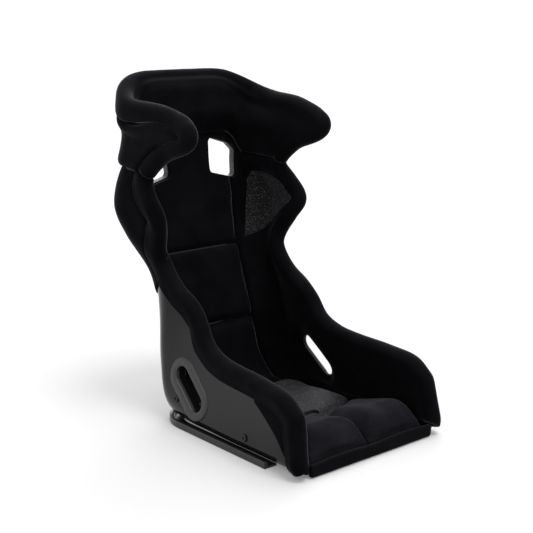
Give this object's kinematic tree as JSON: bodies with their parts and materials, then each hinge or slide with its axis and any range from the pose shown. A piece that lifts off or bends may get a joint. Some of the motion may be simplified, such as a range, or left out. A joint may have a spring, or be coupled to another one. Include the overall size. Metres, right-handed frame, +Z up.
{
  "type": "racing bucket seat",
  "caption": "One-piece racing bucket seat with wrap-round head guard, fitted velour pads, shoulder, lap and crotch belt openings and side mounting inserts.",
  "frame": {"origin": "centre of the footprint on the plane that the base rests on", "axes": "+Z up, along the longest side; the occupant faces -Y; +X is the occupant's left"},
  "size_m": [0.5774, 0.8381, 0.9232],
  "materials": {
    "gloss_shell": "gloss black gelcoat on glass-fibre laminate",
    "satin_flange": "satin black laminate",
    "insert_steel": "black zinc-plated steel",
    "velour_bolster": "black velour",
    "velour_head": "black velour",
    "velour_outer": "black velour",
    "velour_lower_back_pad": "black velour",
    "velour_lumbar_pad": "black velour",
    "velour_upper_back_pad": "black velour",
    "hook_tape": "black hook-and-loop tape",
    "velour_thigh": "black velour",
    "velour_front": "black velour",
    "grip_fabric": "speckled charcoal grip fabric",
    "belt_trim": "satin dark grey moulding",
    "belt_bezel": "satin dark grey moulding"
  },
  "bodies": {
    "root": {"shell": "gloss_shell", "base_flange": "satin_flange", "side_insert_front_left": "insert_steel", "side_insert_front_right": "insert_steel", "side_insert_rear_left": "insert_steel", "side_insert_rear_right": "insert_steel", "side_bolster_left": "velour_bolster", "side_bolster_right": "velour_bolster", "head_pad": "velour_head", "shoulder_cover_left": "velour_outer", "shoulder_cover_right": "velour_outer", "head_side_cover_left": "velour_outer", "head_side_cover_right": "velour_outer", "front_side_cover_left": "velour_outer", "front_side_cover_right": "velour_outer", "lower_back_pad": "velour_lower_back_pad", "lumbar_pad": "velour_lumbar_pad", "upper_back_pad": "velour_upper_back_pad", "lower_back_tape": "hook_tape", "lumbar_tape": "hook_tape", "upper_back_tape": "hook_tape", "thigh_pad_left": "velour_thigh", "thigh_pad_right": "velour_thigh", "thigh_tape": "hook_tape", "cushion_tape": "hook_tape", "seat_cushion": "grip_fabric", "front_edge_roll": "velour_front", "shoulder_grip_left": "grip_fabric", "shoulder_grip_right": "grip_fabric", "shoulder_belt_trim_left": "belt_trim", "shoulder_belt_trim_right": "belt_trim", "lap_belt_bezel_left": "belt_bezel", "lap_belt_bezel_right": "belt_bezel", "crotch_belt_trim": "belt_trim"}
  },
  "joints": []
}
